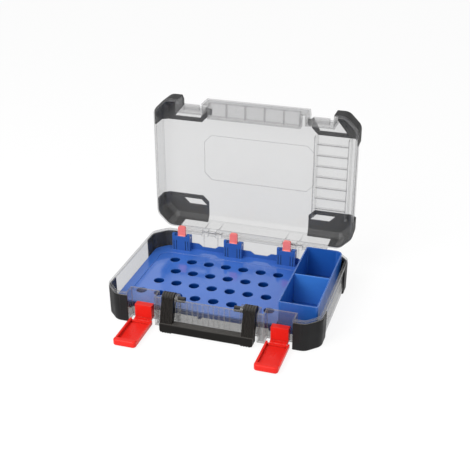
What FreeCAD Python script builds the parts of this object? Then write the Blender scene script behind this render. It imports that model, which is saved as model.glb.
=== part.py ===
import FreeCAD, Part
import math
import os

# Clear two-half case for hole saws, standing open, with its tray, bin, latches and handle.
# Millimetres. +Z up, front is -Y. The origin is the middle of the base's underside.
# The lid is drawn shut over the base and then turned open about its hinge.

V = FreeCAD.Vector

# Case
CASE_W = 386.0
CASE_D = 260.0
BASE_H = 58.0
LID_WALL_H = 34.0
BEVEL_UP = 6.0
BEVEL_IN = 10.5
LID_OPEN = 90.0
SEAM = 0.3
DRAFT = 1.0
WALL = 2.4
CORNER_CUT = 24.0
CORNER_R = 20.0
FOOT_CUT = 1.2
RIM_H = 5.0
RIM_BACK = 0.5

# Corner guards
GUARD_T = 2.6
GUARD_W = 46.0
GUARD_D = 54.0
WING_W = 93.0
WING_CUT = 12.0
WINDOW_NEAR = 34.0
WINDOW_D = 12.0
WINDOW_SIDE = 90.0
WINDOW_W = 37.0
FRONT_WINDOW_W = 44.0
FRONT_WINDOW_SLANT = 18.4
GUARD_LUG_W = 8.0
GUARD_LUG_D = 12.0
GUARD_LUG_BACK = 3.0

# Front: a notch for each latch and a block between them for the handle
NOTCH_W = 49.0
NOTCH_DEEP = 23.0
BLOCK_BACK = 3.0
BLOCK_RIBS = 9
BLOCK_RIB_W = 1.4
BLOCK_RIB_T = 0.8
BLOCK_RIB_SPREAD = 0.63

# Carry handle
ARM_IN = 25.5
ARM_W = 21.0
ARM_GAP = 2.0
KNUCKLE_R = 10.5
KNUCKLE_BACK = 1.5
PIVOT_DROP = 2.0
BAR_T = 17.0
BAR_H = 17.0
BAR_LIFT = 0.5
BAR_R = 3.0
BAR_END_R = 5.0
STUB_R = 5.2
STUB_L = 16.0
EAR_T = 4.0
EAR_R = 9.0
GROOVES = 4
GROOVE_W = 1.8
GROOVE_DEEP = 1.1
HANDLE_GAP = 0.4
POCKET_UP = 5.0
POCKET_MORE = 6.0
POCKET_RIBS = 4
POCKET_RIB_W = 1.6
POCKET_RIB_H = 4.0
POCKET_RIB_SPREAD = 0.9

# Latches
PLATE_W = 31.0
PLATE_T = 3.0
PLATE_DEEP = 12.0
PLATE_LOW = 5.0
PLATE_H = 26.5
PADDLE_W = 41.0
PADDLE_L = 81.0
PADDLE_T = 9.0
PADDLE_GAP = 0.5
PADDLE_LIFT = 0.8
PADDLE_RIM = 3.2
PADDLE_FLOOR = 3.4
PADDLE_R = 3.0
PADDLE_CORNER_R = 6.0
LIP_L = 8.5
LIP_UP = 3.0
ROOT_L = 5.0
ROOT_DROP = 3.0
LATCH_KNUCKLE_R = 3.2
LATCH_KNUCKLE_W = 16.0
LATCH_LUG_W = 6.6
CATCH_W = 30.0
CATCH_H = 4.5

# Lid hinges
HINGE_IN = 113.0
HINGE_R = 2.8
HINGE_BASE_W = 12.0
HINGE_LID_W = 15.0
HINGE_WEB = 9.0
GUSSET_T = 1.6
LEDGE_T = 2.0

# Pins and running fits
PIN_R = 1.6
FIT = 0.05
SIDE_GAP = 0.4

# Lid panel and rack
EMBOSS_SIDE = 85.5
EMBOSS_END = 84.5
EMBOSS_Y = -6.0
EMBOSS_CUT = 14.0
EMBOSS_UP = 1.0
RACK_IN = 51.0
RACK_W = 68.0
RACK_Y = 4.0
RACK_END = 50.0
RACK_H = 12.0
RAIL_W = 5.0
RACK_RIBS = 7
RACK_EDGE = 15.8
RACK_RIB_T = 1.5

# Insert tray
TRAY_GAP = 0.6
TRAY_BACK = 8.0
DECK_Z = 23.0
DECK_T = 3.0
SKIRT_T = 2.2
SKIRT_LOW = 12.0
LEG_R = 4.0
LEG_IN = 12.0
HOLE_R = 9.8
SOCKET_T = 1.6
SOCKET_LOW = 8.0
HOLE_LEFT = 34.9
HOLE_RIGHT = 23.7
HOLE_FRONT = 41.0
HOLE_REAR = 52.4
ROW_COUNTS = (8, 7, 6, 7)
FIELD_SINK = 0.8
FIELD_EDGE = 16.0
FIELD_R = 20.0

# Towers and clip levers on the tray's rear edge
TOWER_W = 35.0
TOWER_D = 15.4
TOWER_IN = 14.2
TOWER_SHIFT = 1.2
TOWER_DROP = 5.0
TOWER_LIP = 2.2
TOWER_EAR_W = 5.0
TOWER_EAR_D = 6.0
TOWER_EAR_UP = 5.0
TOWER_PEG_R = 4.0
TOWER_SLOT_SHARES = (-0.41, -0.26, 0.26, 0.41)
TOWER_SLOT_W = 2.0
TOWER_SLOT_DEEP = 1.5
SHOULDER_SHARE = 0.21
SHOULDER_H = 12.5
SADDLE_H = 7.0
SADDLE_SHARE = 0.11
LEVER_W = 15.0
LEVER_T = 6.0
LEVER_R = 5.0
LEVER_TIP_R = 4.0
LEVER_UP = 22.0
LEVER_DROP = 8.0
LEVER_GAP = 0.6
CLIP_PIN_R = 2.0

# Accessory bin
BIN_W = 68.2
BIN_SIDE = 12.6
BIN_FRONT_IN = 36.5
BIN_REAR_IN = 15.3
BIN_UP = 9.0
BIN_GAP = 2.0
BIN_LOW = 7.0
BIN_WALL = 2.0
BIN_R = 4.0
BIN_CORNER_R = 13.0
BIN_LEG_IN = 12.0
DIVIDER_T = 2.0
DIVIDER_DROP = 1.5

# How far a cut runs past the face that it opens, and how near two places count as one
PAST = 1.0
SAME = 1e-6

# Places worked out from the sizes
FRONT = -CASE_D / 2
GUARD_X = CASE_W / 2 - GUARD_W
GUARD_Y = CASE_D / 2 - GUARD_D
WING_X = CASE_W / 2 - WING_W
WINDOW_X = CASE_W / 2 - WINDOW_SIDE
NOTCH_X = GUARD_X - NOTCH_W
ARM_X = NOTCH_X - ARM_IN
NOTCH_Y = FRONT + NOTCH_DEEP
BLOCK_Y = FRONT + BLOCK_BACK
LID_Z = BASE_H + SEAM
LID_TOP = LID_Z + LID_WALL_H + BEVEL_UP
HINGE_X = CASE_W / 2 - HINGE_IN
HINGE_Y = CASE_D / 2 + HINGE_R
PIVOT_Y = NOTCH_Y - KNUCKLE_BACK - KNUCKLE_R
PIVOT_Z = BASE_H - PIVOT_DROP
POCKET_IN = ARM_X - ARM_W / 2 - ARM_GAP
POCKET_OUT = ARM_X + ARM_W / 2 + ARM_GAP
POCKET_TOP = PIVOT_Z + KNUCKLE_R + POCKET_UP
LATCH_X = (NOTCH_X + GUARD_X) / 2
PLATE_Y = NOTCH_Y - PLATE_DEEP
LATCH_Z = PADDLE_LIFT + LATCH_KNUCKLE_R
LATCH_Y = PLATE_Y - PADDLE_GAP - (PADDLE_LIFT + PADDLE_T - LATCH_Z)
EMBOSS_W = CASE_W - 2 * EMBOSS_SIDE
EMBOSS_D = CASE_D - 2 * EMBOSS_END
RACK_X = CASE_W / 2 - RACK_IN
RACK_L = CASE_D - 2 * RACK_END
BIN_RIGHT = CASE_W / 2 - BIN_SIDE
BIN_LEFT = BIN_RIGHT - BIN_W
BIN_FRONT = FRONT + BIN_FRONT_IN
BIN_REAR = CASE_D / 2 - BIN_REAR_IN
BIN_TOP = BASE_H + BIN_UP
DIVIDER_Y = (BIN_FRONT + BIN_REAR) / 2
TRAY_INSET = GUARD_T + WALL + DRAFT + TRAY_GAP
TRAY_LEFT = -CASE_W / 2 + TRAY_INSET
TRAY_RIGHT = BIN_LEFT - BIN_GAP
TRAY_FRONT = NOTCH_Y + WALL + TRAY_GAP + TRAY_BACK
TRAY_REAR = CASE_D / 2 - TRAY_INSET
HOLES_LEFT = TRAY_LEFT + HOLE_LEFT
HOLES_RIGHT = TRAY_RIGHT - HOLE_RIGHT
HOLE_PITCH = (HOLES_RIGHT - HOLES_LEFT) / (max(ROW_COUNTS) - 1)
PATTERN_X = (HOLES_LEFT + HOLES_RIGHT) / 2
ROW_FRONT = TRAY_FRONT + HOLE_FRONT
ROW_REAR = TRAY_REAR - HOLE_REAR
ROW_PITCH = (ROW_REAR - ROW_FRONT) / (len(ROW_COUNTS) - 1)
TOWER_PITCH = (HOLES_RIGHT - HOLES_LEFT) / 2 - TOWER_IN
TOWER_Y = TRAY_REAR - TOWER_D
LEVER_Y = TRAY_REAR - TOWER_D / 2
LEVER_Z = BASE_H - LEVER_DROP
TOWER_X = PATTERN_X + TOWER_SHIFT
TOWER_XS = {"left": TOWER_X - TOWER_PITCH, "center": TOWER_X, "right": TOWER_X + TOWER_PITCH}
TOWER_TOP = BASE_H - TOWER_DROP
SIDES = {"left": -1, "right": 1}
ENDS = {"front": -1, "rear": 1}
FAR = CASE_W


def box(x0, x1, y0, y1, z0, z1):
    low = V(min(x0, x1), min(y0, y1), min(z0, z1))
    return Part.makeBox(abs(x1 - x0), abs(y1 - y0), abs(z1 - z0), low)


def rod_x(x0, x1, y, z, radius):
    return Part.makeCylinder(radius, abs(x1 - x0), V(min(x0, x1), y, z), V(1, 0, 0))


def rod_z(x, y, z0, z1, radius):
    return Part.makeCylinder(radius, z1 - z0, V(x, y, z0))


def rounded_wire(corners, z):
    """Closed wire at height z through (x, y, radius) corners, each rounded by its radius."""
    count = len(corners)
    points = [V(x, y, z) for x, y, _ in corners]
    starts, middles, ends = [], [], []
    for i in range(count):
        radius = corners[i][2]
        back = (points[i - 1] - points[i]).normalize()
        ahead = (points[(i + 1) % count] - points[i]).normalize()
        half = back.getAngle(ahead) / 2
        reach = radius / math.tan(half)
        starts.append(points[i] + back * reach)
        ends.append(points[i] + ahead * reach)
        bisector = (back + ahead).normalize()
        middles.append(points[i] + bisector * (radius / math.sin(half) - radius))
    edges = []
    for i in range(count):
        if corners[i][2] > 0:
            edges.append(Part.Arc(starts[i], middles[i], ends[i]).toShape())
        after = starts[(i + 1) % count]
        if (after - ends[i]).Length > SAME:
            edges.append(Part.LineSegment(ends[i], after).toShape())
    return Part.Wire(edges)


def prism(corners, z0, z1):
    return Part.Face(rounded_wire(corners, z0)).extrude(V(0, 0, z1 - z0))


def plate_xz(points, y0, y1):
    """Solid from an outline of (x, z) points, reaching from y0 to y1."""
    corners = [V(x, y0, z) for x, z in points]
    return Part.Face(Part.makePolygon(corners + corners[:1])).extrude(V(0, y1 - y0, 0))


def plate_yz(points, x0, x1):
    """Solid from an outline of (y, z) points, reaching from x0 to x1."""
    corners = [V(x0, y, z) for y, z in points]
    return Part.Face(Part.makePolygon(corners + corners[:1])).extrude(V(x1 - x0, 0, 0))


def joined(shapes):
    first, rest = shapes[0], shapes[1:]
    return first.fuse(rest).removeSplitter() if rest else first


def mirrored(shape):
    return shape.mirror(V(0, 0, 0), V(1, 0, 0))


def on_side(shape, sign):
    return shape if sign > 0 else mirrored(shape)


def case_corners(inset):
    """The case's plan: a rectangle with cut corners, all drawn in by inset."""
    half_w = CASE_W / 2 - inset
    half_d = CASE_D / 2 - inset
    cut = CORNER_CUT - (2 - math.sqrt(2)) * inset
    radius = CORNER_R - inset
    quarter = [(half_w - cut, half_d), (half_w, half_d - cut)]
    rear_right = [(x, y, radius) for x, y in quarter]
    front_right = [(x, -y, radius) for x, y in reversed(quarter)]
    front_left = [(-x, -y, radius) for x, y in quarter]
    rear_left = [(-x, y, radius) for x, y in reversed(quarter)]
    return rear_right + front_right + front_left + rear_left


def case_solid(levels):
    """Solid through the case's plan at each (height, inset) level."""
    wires = [rounded_wire(case_corners(inset), z) for z, inset in levels]
    return Part.makeLoft(wires, True, True)


def base_draft(z):
    return DRAFT * (1 - z / BASE_H)


def lid_draft(z):
    return DRAFT * (z - LID_Z) / LID_WALL_H


def base_solid(inset, low, high):
    foot = low + FOOT_CUT
    return case_solid([
        (low, inset + base_draft(low) + FOOT_CUT),
        (foot, inset + base_draft(foot)),
        (high, inset + base_draft(high)),
    ])


def lid_solid(inset, low, lift):
    """Walls and bevelled top; lift raises the top face only."""
    brow = LID_Z + LID_WALL_H
    return case_solid([
        (low, inset + lid_draft(low)),
        (brow, inset + DRAFT),
        (LID_TOP + lift, inset + DRAFT + BEVEL_IN),
    ])


def front_recess(grow, pocket_in, pocket_back, low, pocket_top, high):
    """What the front gives up: latch notches, handle pockets and the block's set-back."""
    cuts = [box(-NOTCH_X, NOTCH_X, FRONT - FAR, BLOCK_Y + grow, low, high)]
    for sign in SIDES.values():
        notch = (sign * (NOTCH_X - grow), sign * (GUARD_X + grow))
        pocket = (sign * (pocket_in - grow), sign * (POCKET_OUT + grow))
        cuts.append(box(*notch, FRONT - FAR, NOTCH_Y + grow, low, high))
        cuts.append(box(*pocket, FRONT - FAR, pocket_back + grow, low, pocket_top + grow))
    return joined(cuts)


def base_recess(grow):
    return front_recess(grow, POCKET_IN, NOTCH_Y, -PAST, BASE_H + FAR, BASE_H + FAR)


def lid_recess(grow):
    """In the lid one pocket runs across the whole block, over the handle's knuckles."""
    return front_recess(grow, 0, NOTCH_Y + POCKET_MORE, LID_Z - PAST, POCKET_TOP, LID_TOP + FAR)


def rim(z0, z1, draft):
    outer = prism(case_corners(RIM_BACK), z0, z1)
    return outer.cut(prism(case_corners(GUARD_T + draft + WALL / 2), z0, z1))


def base_shell():
    walls = base_solid(GUARD_T, 0, BASE_H).cut(base_recess(0))
    hollow = base_solid(GUARD_T + WALL, WALL, BASE_H + PAST).cut(base_recess(WALL))
    lip = rim(BASE_H - RIM_H, BASE_H, base_draft(BASE_H - RIM_H)).cut(base_recess(0))
    extras = block_ribs() + handle_ears() + base_knuckles() + gussets(WALL, BASE_H)
    extras += rear_ledge(BASE_H - LEDGE_T, BASE_H)
    shell = joined([walls.cut(hollow), lip] + extras)
    for sign in SIDES.values():
        ear = (sign * POCKET_IN, sign * (POCKET_IN - EAR_T))
        shell = shell.cut(rod_x(*ear, PIVOT_Y, PIVOT_Z, STUB_R + FIT))
    return shell


def block_ribs():
    """Upright ribs on the face of the front block, between the handle's arms."""
    pitch = 2 * POCKET_IN * BLOCK_RIB_SPREAD / (BLOCK_RIBS - 1)
    ribs = []
    for i in range(BLOCK_RIBS):
        x = (i - (BLOCK_RIBS - 1) / 2) * pitch
        spread = (x - BLOCK_RIB_W / 2, x + BLOCK_RIB_W / 2)
        ribs.append(box(*spread, BLOCK_Y - BLOCK_RIB_T, BLOCK_Y + WALL / 2, BAR_LIFT + BAR_H, BASE_H))
    return ribs


def handle_ears():
    """Lugs on the block's side walls that carry the handle's stubs."""
    ears = []
    for sign in SIDES.values():
        x0, x1 = sign * POCKET_IN, sign * (POCKET_IN - EAR_T)
        web = box(x0, x1, PIVOT_Y - EAR_R, NOTCH_Y, BASE_H / 2, PIVOT_Z)
        inside = box(x0, x1, BLOCK_Y, NOTCH_Y + WALL, 0, BASE_H + FAR)
        ears.append(web.fuse(rod_x(x0, x1, PIVOT_Y, PIVOT_Z, EAR_R)).common(inside))
    return ears


def hinge_spans(width, offset):
    """X spans of the hinge knuckles, offset both ways from each hinge's middle."""
    spans = []
    for sign in SIDES.values():
        for shift in sorted({-offset, offset}):
            middle = sign * HINGE_X + shift
            spans.append((middle - width / 2, middle + width / 2))
    return spans


def knuckle(x0, x1, drop):
    """Hinge barrel with a web to the rear wall; drop is the web's depth, down or up."""
    barrel = rod_x(x0, x1, HINGE_Y, BASE_H, HINGE_R)
    root = CASE_D / 2 - GUARD_T - DRAFT / 2 - WALL / 2
    web = plate_yz([
        (root, BASE_H + drop),
        (root, BASE_H + math.copysign(SEAM, drop)),
        (HINGE_Y, BASE_H + math.copysign(SEAM, drop)),
        (HINGE_Y + HINGE_R / 2, BASE_H + math.copysign(HINGE_R / 2, drop)),
    ], x0, x1)
    return barrel.fuse(web).cut(rod_x(x0 - PAST, x1 + PAST, HINGE_Y, BASE_H, PIN_R + FIT))


def base_knuckles():
    offset = HINGE_LID_W / 2 + SIDE_GAP + HINGE_BASE_W / 2
    return [knuckle(x0, x1, -HINGE_WEB) for x0, x1 in hinge_spans(HINGE_BASE_W, offset)]


def lid_knuckles():
    return [knuckle(x0, x1, HINGE_WEB) for x0, x1 in hinge_spans(HINGE_LID_W, 0)]


def gussets(z0, z1):
    """Upright ribs inside the rear wall, one at each end of each hinge."""
    inner = TRAY_REAR + TRAY_GAP
    outer = CASE_D / 2 - GUARD_T - DRAFT
    reach = HINGE_LID_W / 2 + SIDE_GAP + HINGE_BASE_W / 2
    return [box(x0, x1, inner, outer, z0, z1) for x0, x1 in hinge_spans(GUSSET_T, reach)]


def rear_ledge(z0, z1):
    """Ledge from a rear rim out to the hinge line, left off beside the hinges."""
    half = HINGE_LID_W / 2 + HINGE_BASE_W + 2 * SIDE_GAP
    spans = [(half - HINGE_X, HINGE_X - half)]
    for sign in SIDES.values():
        spans.append((sign * (HINGE_X + half), sign * GUARD_X))
    return [box(*span, CASE_D / 2 - GUARD_T, HINGE_Y - SEAM, z0, z1) for span in spans]


def hinge_pin(sign):
    half = HINGE_LID_W / 2 + SIDE_GAP + HINGE_BASE_W
    middle = sign * HINGE_X
    return rod_x(middle - half, middle + half, HINGE_Y, BASE_H, PIN_R)


def corner_zone(x_sign, y_sign, z0, z1):
    return box(x_sign * GUARD_X, x_sign * FAR, y_sign * GUARD_Y, y_sign * FAR, z0, z1)


def base_guard(x_sign, y_sign):
    top = BASE_H - RIM_H
    skin = base_solid(0, 0, top).cut(base_solid(GUARD_T, 0, BASE_H))
    return skin.common(corner_zone(x_sign, y_sign, 0, top))


def lid_shell():
    walls = lid_solid(GUARD_T, LID_Z, 0).cut(lid_recess(0))
    hollow = lid_solid(GUARD_T + WALL, LID_Z - PAST, -WALL).cut(lid_recess(WALL))
    lip = rim(LID_Z, LID_Z + RIM_H, lid_draft(LID_Z + RIM_H)).cut(lid_recess(0))
    extras = rack() + catches() + pocket_ribs() + lid_knuckles()
    extras += gussets(LID_Z, LID_Z + LID_WALL_H) + rear_ledge(LID_Z, LID_Z + LEDGE_T)
    return joined([walls.cut(hollow), lip, emboss()] + extras)


def emboss():
    half_w, half_d = EMBOSS_W / 2, EMBOSS_D / 2
    corners = []
    for x_sign, y_sign in ((1, 1), (-1, 1), (-1, -1), (1, -1)):
        pair = [
            (x_sign * half_w, EMBOSS_Y + y_sign * (half_d - EMBOSS_CUT), 0),
            (x_sign * (half_w - EMBOSS_CUT), EMBOSS_Y + y_sign * half_d, 0),
        ]
        corners += pair if x_sign * y_sign > 0 else reversed(pair)
    return prism(corners, LID_TOP - WALL / 2, LID_TOP + EMBOSS_UP)


def rack():
    """Two rails and their cross ribs, under the lid's panel above the bin."""
    low, high = LID_TOP - WALL - RACK_H, LID_TOP - WALL / 2
    pieces = []
    for sign in SIDES.values():
        x = RACK_X + sign * (RACK_W - RAIL_W) / 2
        ends = (RACK_Y - RACK_L / 2, RACK_Y + RACK_L / 2)
        pieces.append(box(x - RAIL_W / 2, x + RAIL_W / 2, *ends, low, high))
    pitch = (RACK_L - 2 * RACK_EDGE) / (RACK_RIBS - 1)
    for i in range(RACK_RIBS):
        y = RACK_Y + (i - (RACK_RIBS - 1) / 2) * pitch
        spread = (y - RACK_RIB_T / 2, y + RACK_RIB_T / 2)
        pieces.append(box(RACK_X - RACK_W / 2, RACK_X + RACK_W / 2, *spread, low + RACK_H / 2, high))
    return pieces


def pocket_ribs():
    """Short ribs under the top of the lid's handle pocket."""
    pitch = 2 * POCKET_IN * POCKET_RIB_SPREAD / (POCKET_RIBS - 1)
    ribs = []
    for i in range(POCKET_RIBS):
        x = (i - (POCKET_RIBS - 1) / 2) * pitch
        spread = (x - POCKET_RIB_W / 2, x + POCKET_RIB_W / 2)
        rise = (POCKET_TOP - POCKET_RIB_H, POCKET_TOP + WALL / 2)
        ribs.append(box(*spread, BLOCK_Y, NOTCH_Y + POCKET_MORE + WALL / 2, *rise))
    return ribs


def catches():
    """Ledges on the lid's notch walls that the closed latches hook over."""
    top = LATCH_Z + PADDLE_L - LIP_L - PADDLE_GAP
    reach = PLATE_Y - PADDLE_GAP + LIP_UP / 2
    ledges = []
    for sign in SIDES.values():
        x = sign * LATCH_X
        ledges.append(box(x - CATCH_W / 2, x + CATCH_W / 2, reach, NOTCH_Y + WALL / 2, top - CATCH_H, top))
    return ledges


def lid_guard(x_sign, y_sign):
    """Corner skin with a wing over the lid's panel, pierced by a slanted window."""
    skin = lid_solid(0, LID_Z, GUARD_T).cut(lid_solid(GUARD_T, LID_Z, 0))
    low, high = LID_Z + RIM_H, LID_TOP + GUARD_T
    wing = prism([
        (x_sign * WING_X, y_sign * CASE_D / 2, 0),
        (x_sign * FAR, y_sign * CASE_D / 2, 0),
        (x_sign * FAR, y_sign * GUARD_Y, 0),
        (x_sign * (WING_X + WING_CUT), y_sign * GUARD_Y, 0),
        (x_sign * WING_X, y_sign * (GUARD_Y + WING_CUT), 0),
    ], LID_Z + LID_WALL_H, high)
    zone = corner_zone(x_sign, y_sign, low, high).fuse(wing)
    if y_sign < 0:
        zone = zone.fuse(guard_lug(x_sign, high))
    return skin.common(zone).cut(guard_window(x_sign, y_sign)).cut(lid_recess(0))


def guard_lug(x_sign, high):
    """Tab on a front lid guard's wing, reaching in past the latch notch."""
    reach = (x_sign * (WING_X - GUARD_LUG_W), x_sign * (WING_X + PAST))
    near = NOTCH_Y + GUARD_LUG_BACK
    return box(*reach, near, near + GUARD_LUG_D, LID_Z + LID_WALL_H, high)


def guard_window(x_sign, y_sign):
    """Slanted opening in a lid guard's wing; the front ones run out into the latch notch."""
    near, wide, slant = WINDOW_NEAR, WINDOW_W, WINDOW_D
    if y_sign < 0:
        near, wide, slant = NOTCH_DEEP, FRONT_WINDOW_W, FRONT_WINDOW_SLANT
    edge = y_sign * (CASE_D / 2 - near)
    inner = y_sign * (CASE_D / 2 - WINDOW_NEAR - WINDOW_D)
    return prism([
        (x_sign * WINDOW_X, edge, 0),
        (x_sign * (WINDOW_X + wide), edge, 0),
        (x_sign * (WINDOW_X + wide + slant), inner, 0),
        (x_sign * (WINDOW_X + WINDOW_D), inner, 0),
    ], LID_Z + LID_WALL_H, LID_TOP + GUARD_T)


def handle_profile(trim):
    """Side outline of an arm, from the knuckle down to the bar, drawn in by trim."""
    bar_back = BLOCK_Y - HANDLE_GAP
    bar_front = bar_back - BAR_T
    return [
        (PIVOT_Y + KNUCKLE_R - trim, PIVOT_Z),
        (PIVOT_Y - KNUCKLE_R + trim, PIVOT_Z),
        (bar_front + trim, BAR_LIFT + BAR_H / 2),
        (bar_front + trim, BAR_LIFT),
        (bar_back - trim, BAR_LIFT),
        (bar_back - trim, BAR_LIFT + BAR_H),
    ]


def arm_slice(x0, x1, trim):
    knob = rod_x(x0, x1, PIVOT_Y, PIVOT_Z, KNUCKLE_R - trim)
    return knob.fuse(plate_yz(handle_profile(trim), x0, x1))


def handle_arm():
    """Right arm: full slices with shallow grooves between them."""
    low = ARM_X - ARM_W / 2
    land = (ARM_W - GROOVES * GROOVE_W) / (GROOVES + 1)
    slices = []
    for i in range(GROOVES + 1):
        x = low + i * (land + GROOVE_W)
        slices.append(arm_slice(x, x + land, 0))
        if i < GROOVES:
            slices.append(arm_slice(x + land, x + land + GROOVE_W, GROOVE_DEEP))
    stub = rod_x(POCKET_IN + ARM_GAP, POCKET_IN - STUB_L, PIVOT_Y, PIVOT_Z, STUB_R)
    return joined(slices + [stub])


def carry_handle():
    half = ARM_X + ARM_W / 2
    back = BLOCK_Y - HANDLE_GAP
    bar = box(-half, half, back - BAR_T, back, BAR_LIFT, BAR_LIFT + BAR_H)
    long_edges = [e for e in bar.Edges if e.BoundBox.XLength > half]
    bar = bar.makeFillet(BAR_R, long_edges)
    arm = handle_arm()
    room = box(-half, half, back - FAR, CASE_D / 2, BAR_LIFT, BASE_H + FAR)
    low_ends = [e for e in room.Edges if e.BoundBox.YLength > BAR_T and e.BoundBox.ZMax < BAR_H]
    return joined([bar, arm, mirrored(arm)]).common(room.makeFillet(BAR_END_R, low_ends))


def latch_plate():
    """Right latch's fixed red channel on the notch wall, with two hinge lugs."""
    x0, x1 = LATCH_X - PLATE_W / 2, LATCH_X + PLATE_W / 2
    top = PLATE_LOW + PLATE_H
    shape = box(x0, x1, PLATE_Y, NOTCH_Y, PLATE_LOW, top)
    hollow = box(x0 + PLATE_T, x1 - PLATE_T, PLATE_Y + PLATE_T, NOTCH_Y, PLATE_LOW, top - PLATE_T)
    shape = shape.cut(hollow)
    rise = (LATCH_Z - PADDLE_LIFT, LATCH_Z + LATCH_KNUCKLE_R)
    sill = box(x0, x1, LATCH_Y + LATCH_KNUCKLE_R + SIDE_GAP, PLATE_Y + PLATE_T, *rise)
    lugs = []
    for sign in SIDES.values():
        inner = LATCH_X + sign * (LATCH_KNUCKLE_W / 2 + SIDE_GAP)
        outer = inner + sign * LATCH_LUG_W
        lug = rod_x(inner, outer, LATCH_Y, LATCH_Z, LATCH_KNUCKLE_R)
        web = box(inner, outer, LATCH_Y, PLATE_Y + PLATE_T, *rise)
        lugs.append(lug.fuse(web))
    bore = rod_x(x0 - PAST, x1 + PAST, LATCH_Y, LATCH_Z, PIN_R)
    return joined([shape, sill] + lugs).cut(bore)


def latch_paddle():
    """Right latch's paddle lying open: a shallow dish with a hooked far lip."""
    low, high = PADDLE_LIFT, PADDLE_LIFT + PADDLE_T
    start = LATCH_Y - LATCH_KNUCKLE_R - SIDE_GAP
    end = LATCH_Y - PADDLE_L
    x0, x1 = LATCH_X - PADDLE_W / 2, LATCH_X + PADDLE_W / 2
    body = box(x0, x1, end, start, low, high)
    body = body.fuse(box(x0, x1, end, end + LIP_L, low, high + LIP_UP)).removeSplitter()
    body = body.makeFillet(PADDLE_CORNER_R, [e for e in body.Edges if is_far_edge(e, end) and is_upright(e)])
    body = body.makeFillet(PADDLE_R, [e for e in body.Edges if is_far_edge(e, end) and not is_upright(e)])
    across = (x0 + PADDLE_RIM, x1 - PADDLE_RIM)
    dish = box(*across, end + LIP_L, start - ROOT_L, low + PADDLE_FLOOR, high + LIP_UP)
    step = box(*across, start - ROOT_L, start, high - ROOT_DROP, high + LIP_UP)
    span = (LATCH_X - LATCH_KNUCKLE_W / 2, LATCH_X + LATCH_KNUCKLE_W / 2)
    tongue = box(*span, start - PAST, LATCH_Y, low, LATCH_Z)
    barrel = rod_x(*span, LATCH_Y, LATCH_Z, LATCH_KNUCKLE_R)
    bore = rod_x(x0, x1, LATCH_Y, LATCH_Z, PIN_R + FIT)
    return joined([body.cut([dish, step]), tongue.fuse(barrel)]).cut(bore)


def is_far_edge(edge, end):
    """True for an edge that lies in the paddle's far end face."""
    return abs(edge.BoundBox.YMin - end) < SAME and edge.BoundBox.YLength < SAME


def is_upright(edge):
    return edge.BoundBox.XLength < SAME


def latch_pin(sign):
    half = LATCH_KNUCKLE_W / 2 + SIDE_GAP + LATCH_LUG_W
    middle = sign * LATCH_X
    return rod_x(middle - half, middle + half, LATCH_Y, LATCH_Z, PIN_R)


def tray_corners(inset):
    """The tray's plan: it follows the case's rear left corner and the notch walls."""
    left = TRAY_LEFT + inset
    rear = TRAY_REAR - inset
    cut = CORNER_CUT - (2 - math.sqrt(2)) * (TRAY_INSET + inset)
    radius = CORNER_R - TRAY_INSET - inset
    return [
        (left, TRAY_FRONT + inset, radius / 2),
        (TRAY_RIGHT - inset, TRAY_FRONT + inset, BIN_R),
        (TRAY_RIGHT - inset, rear, BIN_R),
        (left + cut, rear, radius),
        (left, rear - cut, radius),
    ]


def hole_centres():
    centres = []
    for row, count in enumerate(ROW_COUNTS):
        for i in range(count):
            x = PATTERN_X + (i - (count - 1) / 2) * HOLE_PITCH
            centres.append((x, ROW_FRONT + row * ROW_PITCH))
    return centres


def hole_field():
    """Shallow sunk panel that the holes stand in."""
    half = (max(ROW_COUNTS) - 1) / 2 * HOLE_PITCH + HOLE_R + FIELD_EDGE / 2
    front = ROW_FRONT - HOLE_R - FIELD_EDGE
    rear = ROW_REAR + HOLE_R + FIELD_EDGE
    corners = [
        (PATTERN_X - half, front, FIELD_R),
        (PATTERN_X + half, front, FIELD_R),
        (PATTERN_X + half, rear, FIELD_R),
        (PATTERN_X - half, rear, FIELD_R),
    ]
    return prism(corners, DECK_Z - FIELD_SINK, DECK_Z + PAST)


def tray_legs():
    xs = (TRAY_LEFT + LEG_IN + CORNER_CUT / 2, TOWER_X, TRAY_RIGHT - LEG_IN)
    ys = (TRAY_FRONT + LEG_IN, TRAY_REAR - LEG_IN)
    return [rod_z(x, y, WALL, DECK_Z - DECK_T / 2, LEG_R) for x in xs for y in ys]


def rail_rebate(past):
    """Step along the tray's rear edge that the rear rail is seated in."""
    low, high = DECK_Z - DECK_T / 2, DECK_Z + past
    return box(TOWER_XS["left"], TRAY_RIGHT - BIN_R, TRAY_REAR - SKIRT_T, TRAY_REAR + past, low, high)


def rear_rail():
    """Upright rail along the tray's rear edge: high by the towers, saddled between them."""
    xs = sorted(TOWER_XS.values())
    half = TOWER_W / 2
    high = DECK_Z + SHOULDER_H
    saddle = DECK_Z + SADDLE_H
    shoulder = half + SHOULDER_SHARE * (TOWER_PITCH - TOWER_W)
    run = shoulder + SADDLE_SHARE * (TOWER_PITCH - TOWER_W)
    top = []
    for left, right in zip(xs, xs[1:]):
        top += [(left + shoulder, high), (left + run, saddle)]
        top += [(right - run, saddle), (right - shoulder, high)]
    start = [(xs[0], DECK_Z), (xs[0], high)]
    close = [(xs[-1] + half, high), (TRAY_RIGHT - BIN_R, saddle), (TRAY_RIGHT - BIN_R, DECK_Z)]
    wall = plate_xz(start + top + close, TRAY_REAR - SKIRT_T, TRAY_REAR)
    room = half + FIT
    wall = wall.cut([box(x - room, x + room, TOWER_Y, TRAY_REAR + PAST, DECK_Z, BASE_H) for x in xs])
    return joined([rail_rebate(0), wall])


def hole_rods(z0, z1, radius):
    return [rod_z(x, y, z0, z1, radius) for x, y in hole_centres()]


def tower_pegs(x, radius):
    """Two pegs that hold a tower in the tray's deck."""
    xs = (x - TOWER_W / 4, x + TOWER_W / 4)
    return [rod_z(peg_x, LEVER_Y, DECK_Z - DECK_T, DECK_Z, radius) for peg_x in xs]


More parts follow.
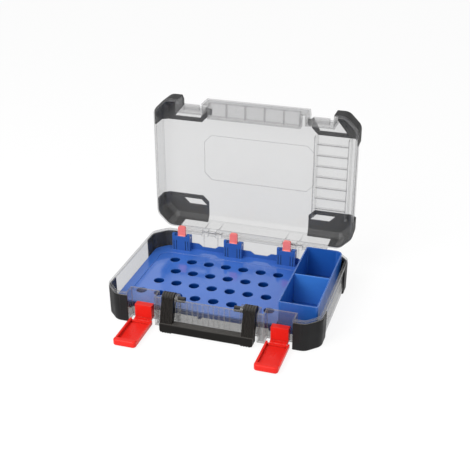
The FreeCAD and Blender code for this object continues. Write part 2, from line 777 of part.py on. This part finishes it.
def clip_tower(x):
    """Slotted block with two ears, a pocket for its lever and two pegs."""
    half = TOWER_W / 2
    block = box(x - half, x + half, TOWER_Y, TRAY_REAR, DECK_Z, TOWER_TOP)
    gap = LEVER_W / 2 + SIDE_GAP
    floor = LEVER_Z - LEVER_R - LEVER_GAP
    cuts = [box(x - gap, x + gap, TOWER_Y + TOWER_LIP, TRAY_REAR + PAST, floor, TOWER_TOP + PAST)]
    for share in TOWER_SLOT_SHARES:
        middle = x + share * TOWER_W
        spread = (middle - TOWER_SLOT_W / 2, middle + TOWER_SLOT_W / 2)
        cuts.append(box(*spread, TOWER_Y - PAST, TOWER_Y + TOWER_SLOT_DEEP, DECK_Z + PAST, floor))
    cuts.append(rod_x(x - half - PAST, x + half + PAST, LEVER_Y, LEVER_Z, CLIP_PIN_R))
    ears = []
    for sign in SIDES.values():
        across = (x + sign * half, x + sign * (half - TOWER_EAR_W))
        ears.append(box(*across, TOWER_Y, TOWER_Y + TOWER_EAR_D, TOWER_TOP, TOWER_TOP + TOWER_EAR_UP))
    return joined([block.cut(cuts)] + ears + tower_pegs(x, TOWER_PEG_R))


def insert_tray():
    body = prism(tray_corners(0), SKIRT_LOW, DECK_Z)
    body = body.cut(prism(tray_corners(SKIRT_T), SKIRT_LOW, DECK_Z - DECK_T))
    sockets = hole_rods(SOCKET_LOW, DECK_Z - DECK_T / 2, HOLE_R + SOCKET_T)
    body = joined([body] + tray_legs() + sockets)
    body = body.cut([hole_field(), rail_rebate(PAST)])
    holes = hole_rods(WALL, DECK_Z + PAST, HOLE_R)
    for x in TOWER_XS.values():
        holes += tower_pegs(x, TOWER_PEG_R + FIT)
    return body.cut(holes)


def clip_lever(x):
    """Red press tab, standing upright on its pin between a tower's ears."""
    half = LEVER_W / 2
    top = LEVER_Z + LEVER_UP
    stem = box(x - half, x + half, LEVER_Y - LEVER_T / 2, LEVER_Y + LEVER_T / 2, LEVER_Z, top)
    corners = [e for e in stem.Edges if e.BoundBox.YLength > LEVER_T / 2 and e.BoundBox.ZMin > LEVER_Z]
    stem = stem.makeFillet(LEVER_TIP_R, corners)
    barrel = rod_x(x - half, x + half, LEVER_Y, LEVER_Z, LEVER_R)
    bore = rod_x(x - half - PAST, x + half + PAST, LEVER_Y, LEVER_Z, CLIP_PIN_R + FIT)
    return joined([stem, barrel]).cut(bore)


def clip_pins():
    half = TOWER_W / 2
    return Part.makeCompound([
        rod_x(x - half, x + half, LEVER_Y, LEVER_Z, CLIP_PIN_R) for x in TOWER_XS.values()
    ])


def bin_corners(inset):
    return [
        (BIN_LEFT + inset, BIN_FRONT + inset, BIN_R - inset),
        (BIN_RIGHT - inset, BIN_FRONT + inset, BIN_R - inset),
        (BIN_RIGHT - inset, BIN_REAR - inset, BIN_CORNER_R - inset),
        (BIN_LEFT + inset, BIN_REAR - inset, BIN_R - inset),
    ]


def accessory_bin():
    body = prism(bin_corners(0), BIN_LOW, BIN_TOP)
    body = body.cut(prism(bin_corners(BIN_WALL), BIN_LOW + BIN_WALL, BIN_TOP + PAST))
    legs = []
    for x in (BIN_LEFT + BIN_LEG_IN, BIN_RIGHT - BIN_LEG_IN):
        for y in (BIN_FRONT + BIN_LEG_IN, BIN_REAR - BIN_LEG_IN):
            legs.append(rod_z(x, y, WALL, BIN_LOW + BIN_WALL / 2, LEG_R))
    return joined([body] + legs)


def bin_divider():
    return box(BIN_LEFT + BIN_WALL, BIN_RIGHT - BIN_WALL, DIVIDER_Y - DIVIDER_T / 2,
               DIVIDER_Y + DIVIDER_T / 2, BIN_LOW + BIN_WALL, BIN_TOP - DIVIDER_DROP)


def opened(shape):
    """Turns a lid piece from shut to its open rest place."""
    turned = shape.copy()
    turned.rotate(V(0, HINGE_Y, BASE_H), V(1, 0, 0), -LID_OPEN)
    return turned


def pieces():
    nodes = {
        "base_shell": base_shell(),
        "lid_shell": opened(lid_shell()),
        "insert_tray": insert_tray(),
        "rear_rail": rear_rail(),
        "accessory_bin": accessory_bin(),
        "bin_divider": bin_divider(),
        "carry_handle": carry_handle(),
        "clip_pins": clip_pins(),
    }
    plate, paddle = latch_plate(), latch_paddle()
    for side, x_sign in SIDES.items():
        nodes[f"latch_plate_{side}"] = on_side(plate, x_sign)
        nodes[f"latch_paddle_{side}"] = on_side(paddle, x_sign)
        nodes[f"latch_pin_{side}"] = latch_pin(x_sign)
        nodes[f"hinge_pin_{side}"] = hinge_pin(x_sign)
        for end, y_sign in ENDS.items():
            nodes[f"base_guard_{end}_{side}"] = base_guard(x_sign, y_sign)
            nodes[f"lid_guard_{end}_{side}"] = opened(lid_guard(x_sign, y_sign))
    for place, x in TOWER_XS.items():
        nodes[f"clip_tower_{place}"] = clip_tower(x)
        nodes[f"clip_lever_{place}"] = clip_lever(x)
    return nodes


def main():
    os.makedirs("parts", exist_ok=True)
    for node, shape in pieces().items():
        shape.exportStep(f"parts/{node}.step")
        print(node, len(shape.Solids), shape.isValid(), round(shape.Volume))


main()
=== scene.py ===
import math

import bpy
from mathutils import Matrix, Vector

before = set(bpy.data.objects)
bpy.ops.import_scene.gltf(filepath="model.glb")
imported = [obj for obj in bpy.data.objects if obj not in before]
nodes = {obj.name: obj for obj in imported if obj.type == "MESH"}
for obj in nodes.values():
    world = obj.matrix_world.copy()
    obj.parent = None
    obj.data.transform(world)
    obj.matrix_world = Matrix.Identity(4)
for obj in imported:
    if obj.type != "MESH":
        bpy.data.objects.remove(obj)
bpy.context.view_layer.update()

# Camera: places in metres, lens and sensor in millimetres
EYE = Vector((0.4430, -1.3912, 0.8688))
AIM = Vector((0.0069, 0.0022, 0.1294))
LENS = 71.25
SENSOR = 36.0

# Light: places in metres, powers in watts
WHITE = (1.0, 1.0, 1.0)
SKY = 0.62
LAMP_AIM = (0.0, 0.0, 0.1)
LAMP_SIZE = 1.2
KEY_PLACE = (-0.7, -1.4, 1.35)
KEY_POWER = 26.0
FILL_PLACE = (1.3, -0.7, 1.1)
FILL_POWER = 4.0

# Floor: a little under the case, so that the two faces don't share a plane
FLOOR_Z = -0.0004
FLOOR_HALF = 6.0
FLOOR_GLOW = 0.86
FLOOR_ALBEDO = 0.16
FLOOR_BOUNCE = 0.8
FLOOR_ROUGH = 0.9

# Masks: each pair is where a mask starts and where it is full, or the other way round
NOISE_LIMITS = (0.3, 0.7)
WHOLE = (0.0, 1.0)
EDGE_TURN = (0.8, 0.99)
# OPEN_SHARE: ambient occlusion shares between which the painted crevice shade fades in
OPEN_SHARE = (0.25, 0.75)
# UP_SHARE: upward normal shares between which painted light from above fades in
UP_SHARE = (0.6, 0.95)
SLANT_LIMITS = (0.45, 1.0)
SLANT_BLEND = 0.4
# Heights under which the base's clear film grows denser: a painted shadow under the case
PAINTED_FOOT_SHADOW_HEIGHTS = (0.002, 0.003)

# Moulded plastic: lengths in metres, noise as cycles per metre and detail
PLASTIC_IOR = 1.5
# Paler edges on moulded plastic: painted highlight along edges, with some wear
EDGE_HIGHLIGHT_AND_WEAR_REACH = 0.0009
# Painted crevice shade: slots and inner corners, found by ambient occlusion, are darkened toward a share of
# the shade colour
PAINTED_CREVICE_REACH = 0.006
PAINTED_CREVICE_RAYS = 6
PAINTED_CREVICE_SHADE = 0.3
MOTTLE = (18.0, 4.0)
DULLNESS = (60.0, 5.0)
DULL_SWING = 0.06
GRAIN_DETAIL = 2.0
GRAIN_STRENGTH = 0.25

# Clear plastic
CLOUD = (9.0, 3.0)
GLAZE = (45.0, 4.0)
GLAZE_ROUGH = (0.10, 0.20)
RIPPLE = (22.0, 2.0)
RIPPLE_STRENGTH = 0.08
RIPPLE_DEEP = 0.0006
CLEAR_LAYERS = 32

# Drawn steel
STREAK = (900.0, 3.0)
STREAK_STRETCH = (0.04, 1.0, 1.0)
STEEL_DARK = (0.46, 0.46, 0.47)
STEEL_PALE = (0.66, 0.66, 0.67)
STEEL_ROUGH = (0.22, 0.38)

# Rounded edges
WELD_REACH = 1e-6
ROUND_STEPS = 2
ROUND_ANGLE = math.radians(35)


def node(tree, kind, **inputs):
    """A shader node with constant sockets set by name, spaces written as underscores."""
    made = tree.nodes.new(kind)
    for name, value in inputs.items():
        made.inputs[name.replace("_", " ")].default_value = value
    return made


def link(tree, source, target):
    tree.links.new(source, target)


def rgb(colour):
    return (*colour, 1.0)


def noise(tree, scale, detail, stretch=None):
    """Noise in the object's own metres; scale is in cycles per metre."""
    out = node(tree, "ShaderNodeTexCoord").outputs["Object"]
    if stretch:
        mapping = node(tree, "ShaderNodeMapping", Scale=stretch)
        link(tree, out, mapping.inputs["Vector"])
        out = mapping.outputs["Vector"]
    made = node(tree, "ShaderNodeTexNoise", Scale=scale, Detail=detail)
    link(tree, out, made.inputs["Vector"])
    return made.outputs["Fac"]


def spread(tree, source, low, high, limits=NOISE_LIMITS):
    """Maps a number within the limits to one between low and high."""
    made = node(tree, "ShaderNodeMapRange", From_Min=limits[0], From_Max=limits[1], To_Min=low, To_Max=high)
    link(tree, source, made.inputs["Value"])
    return made.outputs["Result"]


def blend(tree, factor, first, second):
    """Mixes two colours; each is a colour or a socket."""
    made = node(tree, "ShaderNodeMix")
    made.data_type = "RGBA"
    link(tree, factor, made.inputs["Factor"])
    for socket, value in (("A", first), ("B", second)):
        target = [s for s in made.inputs if s.name == socket and s.type == "RGBA"][0]
        if isinstance(value, tuple):
            target.default_value = rgb(value)
        else:
            link(tree, value, target)
    return [s for s in made.outputs if s.type == "RGBA"][0]


def most(tree, first, second):
    """The larger of two numbers."""
    made = node(tree, "ShaderNodeMath")
    made.operation = "MAXIMUM"
    link(tree, first, made.inputs[0])
    link(tree, second, made.inputs[1])
    return made.outputs["Value"]


def bump(tree, height, strength, distance):
    made = node(tree, "ShaderNodeBump", Strength=strength, Distance=distance)
    link(tree, height, made.inputs["Height"])
    return made.outputs["Normal"]


def edge_mask(tree, radius):
    """About 1 along convex and concave edges, 0 on flats."""
    rounded = node(tree, "ShaderNodeBevel", Radius=radius)
    flat = node(tree, "ShaderNodeNewGeometry")
    dot = node(tree, "ShaderNodeVectorMath")
    dot.operation = "DOT_PRODUCT"
    link(tree, rounded.outputs["Normal"], dot.inputs[0])
    link(tree, flat.outputs["Normal"], dot.inputs[1])
    return spread(tree, dot.outputs["Value"], 1.0, 0.0, EDGE_TURN)


def painted_crevice_shade_mask(tree):
    """Painted shade: 1 in slots and inner corners that little light reaches, 0 in the open."""
    made = node(tree, "ShaderNodeAmbientOcclusion", Distance=PAINTED_CREVICE_REACH)
    made.samples = PAINTED_CREVICE_RAYS
    made.only_local = True
    return spread(tree, made.outputs["AO"], 1.0, 0.0, OPEN_SHARE)


def upright(tree, coordinate):
    """The Z of a texture coordinate."""
    place = node(tree, "ShaderNodeTexCoord")
    parts = node(tree, "ShaderNodeSeparateXYZ")
    link(tree, place.outputs[coordinate], parts.inputs[0])
    return parts.outputs["Z"]


def depth_mask(tree, heights):
    """1 below the first height, 0 above the second, in the object's own metres."""
    return spread(tree, upright(tree, "Object"), 1.0, 0.0, heights)


def painted_light_from_above_mask(tree):
    """Painted light from above: 1 on faces that look up in the object's own frame, 0 on its sides."""
    return spread(tree, upright(tree, "Normal"), 0.0, 1.0, UP_SHARE)


def new_material(name):
    made = bpy.data.materials.new(name)
    made.use_nodes = True
    tree = made.node_tree
    return made, tree, tree.nodes["Principled BSDF"]


def plastic_colour(tree, colour, shade, edge_highlight_and_wear, painted_light_from_above):
    """Mottled colour, paler on upward faces as painted light from above, paler along edges as painted
    highlight and wear, and with painted shade in slots and inner corners.
    """
    cloud = spread(tree, noise(tree, *MOTTLE), 0.0, 1.0)
    finish = blend(tree, cloud, colour, shade)
    if painted_light_from_above:
        # Painted light from above makes upward faces paler
        finish = blend(tree, painted_light_from_above_mask(tree), finish, painted_light_from_above)
    # Painted highlight along edges, with some wear
    finish = blend(tree, edge_mask(tree, EDGE_HIGHLIGHT_AND_WEAR_REACH), finish, edge_highlight_and_wear)
    # Painted shade in slots and inner corners, found by ambient occlusion
    crevice_shade_colour = tuple(PAINTED_CREVICE_SHADE * part for part in shade)
    return blend(tree, painted_crevice_shade_mask(tree), finish, crevice_shade_colour)


def moulded(name, colour, shade, edge_highlight_and_wear, rough, grain, grain_deep, gloss=0.5, socket_shade=None, painted_light_from_above=None):
    """Opaque moulded plastic with a fine grain; an optional painted shade for the bottoms of sockets is given
    as its colour and the heights it fades between.
    """
    made, tree, shader = new_material(name)
    finish = plastic_colour(tree, colour, shade, edge_highlight_and_wear, painted_light_from_above)
    dullness = spread(tree, noise(tree, *DULLNESS), rough - DULL_SWING, rough + DULL_SWING)
    shader.inputs["Specular IOR Level"].default_value = gloss
    if socket_shade:
        # Painted shade low in the sockets: the colour fades to the shade colour below the heights, and the
        # surface turns matt there
        socket_shade_colour, heights = socket_shade
        socket_shade_mask = depth_mask(tree, heights)
        finish = blend(tree, socket_shade_mask, finish, socket_shade_colour)
        dullness = most(tree, dullness, socket_shade_mask)
        link(tree, spread(tree, socket_shade_mask, gloss, 0.0, WHOLE), shader.inputs["Specular IOR Level"])
    link(tree, finish, shader.inputs["Base Color"])
    link(tree, dullness, shader.inputs["Roughness"])
    fine = noise(tree, grain, GRAIN_DETAIL)
    link(tree, bump(tree, fine, GRAIN_STRENGTH, grain_deep), shader.inputs["Normal"])
    shader.inputs["IOR"].default_value = PLASTIC_IOR
    return made


def film_density(tree, rim, film, slanted, edge, painted_foot_shadow):
    """How dense a clear wall is: face on, at a slant, along its edges for the painted lines there, and near
    its bottom as a painted shadow under the case.
    """
    slant = node(tree, "ShaderNodeLayerWeight", Blend=SLANT_BLEND).outputs["Facing"]
    dense = spread(tree, slant, film, slanted, SLANT_LIMITS)
    dense = most(tree, dense, spread(tree, rim, 0.0, edge, WHOLE))
    # Painted shadow: the film grows denser near the bottom of the wall
    if painted_foot_shadow:
        low = depth_mask(tree, PAINTED_FOOT_SHADOW_HEIGHTS)
        dense = most(tree, dense, spread(tree, low, 0.0, painted_foot_shadow, WHOLE))
    return dense


def clear_plastic(name, colour, shade, painted_edge_lines, film, slanted, edge, reach, painted_foot_shadow=0.0):
    """Thin clear wall with a faint smoky film and painted lines along its edges: darker ones as painted shade
    standing in for refraction, paler ones as painted highlights.
    """
    made, tree, shader = new_material(name)
    rim = edge_mask(tree, reach)
    cloud = spread(tree, noise(tree, *CLOUD), 0.0, 1.0)
    smoke = blend(tree, cloud, colour, shade)
    # Painted lines along edges, darker or paler by the given colour
    link(tree, blend(tree, rim, smoke, painted_edge_lines), shader.inputs["Base Color"])
    link(tree, spread(tree, noise(tree, *GLAZE), *GLAZE_ROUGH), shader.inputs["Roughness"])
    ripple = noise(tree, *RIPPLE)
    link(tree, bump(tree, ripple, RIPPLE_STRENGTH, RIPPLE_DEEP), shader.inputs["Normal"])
    link(tree, film_density(tree, rim, film, slanted, edge, painted_foot_shadow), shader.inputs["Alpha"])
    shader.inputs["IOR"].default_value = PLASTIC_IOR
    return made


def steel(name):
    made, tree, shader = new_material(name)
    streak = noise(tree, *STREAK, STREAK_STRETCH)
    link(tree, blend(tree, streak, STEEL_DARK, STEEL_PALE), shader.inputs["Base Color"])
    link(tree, spread(tree, streak, *STEEL_ROUGH), shader.inputs["Roughness"])
    shader.inputs["Metallic"].default_value = 1.0
    return made


# The lid's darker lines along edges are painted refraction shade; the base's paler ones are painted rim
# highlights
LID_CLEAR = clear_plastic(
    "lid_clear", colour=(0.36, 0.36, 0.36), shade=(0.33, 0.33, 0.33), painted_edge_lines=(0.08, 0.08, 0.082),
    film=0.235, slanted=0.55, edge=0.65, reach=0.0024)
# The base's film thickens near its bottom as a painted shadow under the case
BASE_CLEAR = clear_plastic(
    "base_clear", colour=(0.20, 0.20, 0.20), shade=(0.18, 0.18, 0.18), painted_edge_lines=(0.30, 0.295, 0.29),
    film=0.18, slanted=0.55, edge=0.7, reach=0.0034, painted_foot_shadow=0.44)
# The pale colour along edges of each moulded material is painted highlight with some wear
GUARD = moulded(
    "guard_charcoal", colour=(0.008, 0.008, 0.0085), shade=(0.012, 0.012, 0.0125), edge_highlight_and_wear=(0.045, 0.045, 0.047),
    rough=0.55, grain=2600.0, grain_deep=0.00012, gloss=0.2)
RED = moulded(
    "latch_red", colour=(0.83, 0.022, 0.014), shade=(0.77, 0.017, 0.011), edge_highlight_and_wear=(0.96, 0.09, 0.06),
    rough=0.32, grain=900.0, grain_deep=0.00003, gloss=0.22)
TAB = moulded(
    "tab_red", colour=(1.0, 0.24, 0.21), shade=(0.97, 0.19, 0.17), edge_highlight_and_wear=(1.0, 0.42, 0.40),
    rough=0.3, grain=900.0, grain_deep=0.00003)
# The tray's sockets get painted shade toward their bottoms
TRAY = moulded(
    "tray_blue", colour=(0.052, 0.172, 0.61), shade=(0.047, 0.158, 0.58), edge_highlight_and_wear=(0.17, 0.32, 0.72),
    rough=0.1, grain=700.0, grain_deep=0.00001, gloss=0.8,
    socket_shade=((0.002, 0.036, 0.20), (0.0195, 0.0216)))
RAIL = moulded(
    "rail_blue", colour=(0.032, 0.118, 0.42), shade=(0.028, 0.105, 0.38), edge_highlight_and_wear=(0.11, 0.25, 0.58),
    rough=0.4, grain=1400.0, grain_deep=0.00004, gloss=0.25)
BIN = moulded(
    "bin_blue", colour=(0.016, 0.115, 0.46), shade=(0.013, 0.098, 0.40), edge_highlight_and_wear=(0.38, 0.53, 0.84),
    rough=0.36, grain=1400.0, grain_deep=0.00004)
# The divider is a paler copy of the bin's blue: painted light on a face that the lamps catch
DIVIDER_PAINTED_LIGHT = moulded(
    "divider_blue_painted_light", colour=(0.050, 0.23, 0.72), shade=(0.044, 0.21, 0.66), edge_highlight_and_wear=(0.48, 0.60, 0.86),
    rough=0.36, grain=1400.0, grain_deep=0.00004)
# The handle's paler upward faces are painted light from above
BLACK = moulded(
    "handle_black", colour=(0.006, 0.0055, 0.005), shade=(0.010, 0.009, 0.008), edge_highlight_and_wear=(0.090, 0.078, 0.068),
    rough=0.42, grain=1800.0, grain_deep=0.0001, gloss=0.13, painted_light_from_above=(0.066, 0.062, 0.058))
STEEL = steel("drawn_steel")

# Finishes and edge widths in metres, by the start of a piece's name
FINISH = {
    "base_shell": BASE_CLEAR, "lid_shell": LID_CLEAR, "base_guard": GUARD, "lid_guard": GUARD,
    "latch_plate": RED, "latch_paddle": RED, "clip_lever": TAB,
    "insert_tray": TRAY, "rear_rail": RAIL, "clip_tower": RAIL,
    "accessory_bin": BIN, "bin_divider": DIVIDER_PAINTED_LIGHT, "carry_handle": BLACK,
    "hinge_pin": STEEL, "latch_pin": STEEL, "clip_pins": STEEL,
}
ROUND = {
    "base_guard": 0.0008, "lid_guard": 0.0008, "latch_plate": 0.0008, "latch_paddle": 0.0008,
    "clip_lever": 0.0008, "clip_tower": 0.0005, "rear_rail": 0.0004,
    "accessory_bin": 0.0006, "bin_divider": 0.0006, "carry_handle": 0.0005,
}


def soften(obj, width):
    """Rounds a piece's sharp edges."""
    weld = obj.modifiers.new("weld", "WELD")
    weld.merge_threshold = WELD_REACH
    bevel = obj.modifiers.new("round", "BEVEL")
    bevel.width = width
    bevel.segments = ROUND_STEPS
    bevel.limit_method = "ANGLE"
    bevel.angle_limit = ROUND_ANGLE
    bevel.harden_normals = True


def dress():
    """Gives each piece its finish and its rounded edges."""
    for name, obj in nodes.items():
        obj.data.materials.clear()
        for start, material in FINISH.items():
            if name.startswith(start):
                obj.data.materials.append(material)
        for start, width in ROUND.items():
            if name.startswith(start):
                soften(obj, width)


def seen_share(tree):
    """1 for rays that the eye, gloss or glass sends, 0 for light falling on the object."""
    rays = node(tree, "ShaderNodeLightPath").outputs
    seen = most(tree, rays["Is Camera Ray"], rays["Is Glossy Ray"])
    return most(tree, seen, rays["Is Transmission Ray"])


def show(tree, lighting, seen, output):
    """Sends one shader to the light on the object and another to what is seen."""
    mix = node(tree, "ShaderNodeMixShader")
    link(tree, seen_share(tree), mix.inputs[0])
    link(tree, lighting.outputs[0], mix.inputs[1])
    link(tree, seen.outputs[0], mix.inputs[2])
    link(tree, mix.outputs[0], tree.nodes[output].inputs["Surface"])


def sky():
    world = bpy.data.worlds.new("studio")
    world.use_nodes = True
    tree = world.node_tree
    light = tree.nodes["Background"]
    light.inputs["Color"].default_value = rgb(WHITE)
    light.inputs["Strength"].default_value = SKY
    white = node(tree, "ShaderNodeBackground", Color=rgb(WHITE), Strength=1.0)
    show(tree, light, white, "World Output")
    bpy.context.scene.world = world


def floor_material():
    """White to the eye with the object's shadow kept, plain pale for the light it throws back."""
    made, tree, shader = new_material("floor_white")
    shader.inputs["Base Color"].default_value = rgb((FLOOR_BOUNCE,) * 3)
    shader.inputs["Roughness"].default_value = FLOOR_ROUGH
    shader.inputs["Specular IOR Level"].default_value = 0.0
    dim = node(tree, "ShaderNodeBsdfDiffuse", Color=rgb((FLOOR_ALBEDO,) * 3))
    glow = node(tree, "ShaderNodeEmission", Color=rgb(WHITE), Strength=FLOOR_GLOW)
    total = node(tree, "ShaderNodeAddShader")
    link(tree, dim.outputs[0], total.inputs[0])
    link(tree, glow.outputs[0], total.inputs[1])
    show(tree, shader, total, "Material Output")
    return made


def floor():
    mesh = bpy.data.meshes.new("floor")
    ends = (-FLOOR_HALF, FLOOR_HALF)
    corners = [(ends[i], ends[j], FLOOR_Z) for i, j in ((0, 0), (1, 0), (1, 1), (0, 1))]
    mesh.from_pydata(corners, [], [(0, 1, 2, 3)])
    mesh.materials.append(floor_material())
    obj = bpy.data.objects.new("floor", mesh)
    bpy.context.scene.collection.objects.link(obj)


def place(name, data, spot, aim):
    """Puts a lamp or camera at a spot, looking at the aim."""
    obj = bpy.data.objects.new(name, data)
    obj.location = spot
    obj.rotation_euler = (Vector(aim) - Vector(spot)).to_track_quat("-Z", "Y").to_euler()
    bpy.context.scene.collection.objects.link(obj)
    return obj


def lamp(name, spot, power):
    data = bpy.data.lights.new(name, "AREA")
    data.shape = "SQUARE"
    data.size = LAMP_SIZE
    data.energy = power
    place(name, data, spot, LAMP_AIM)


def camera():
    data = bpy.data.cameras.new("camera")
    data.lens = LENS
    data.sensor_width = SENSOR
    bpy.context.scene.camera = place("camera", data, EYE, AIM)


def studio():
    sky()
    floor()
    lamp("key", KEY_PLACE, KEY_POWER)
    lamp("fill", FILL_PLACE, FILL_POWER)
    camera()
    bpy.context.scene.view_settings.view_transform = "Standard"
    bpy.context.scene.cycles.transparent_max_bounces = CLEAR_LAYERS


dress()
studio()
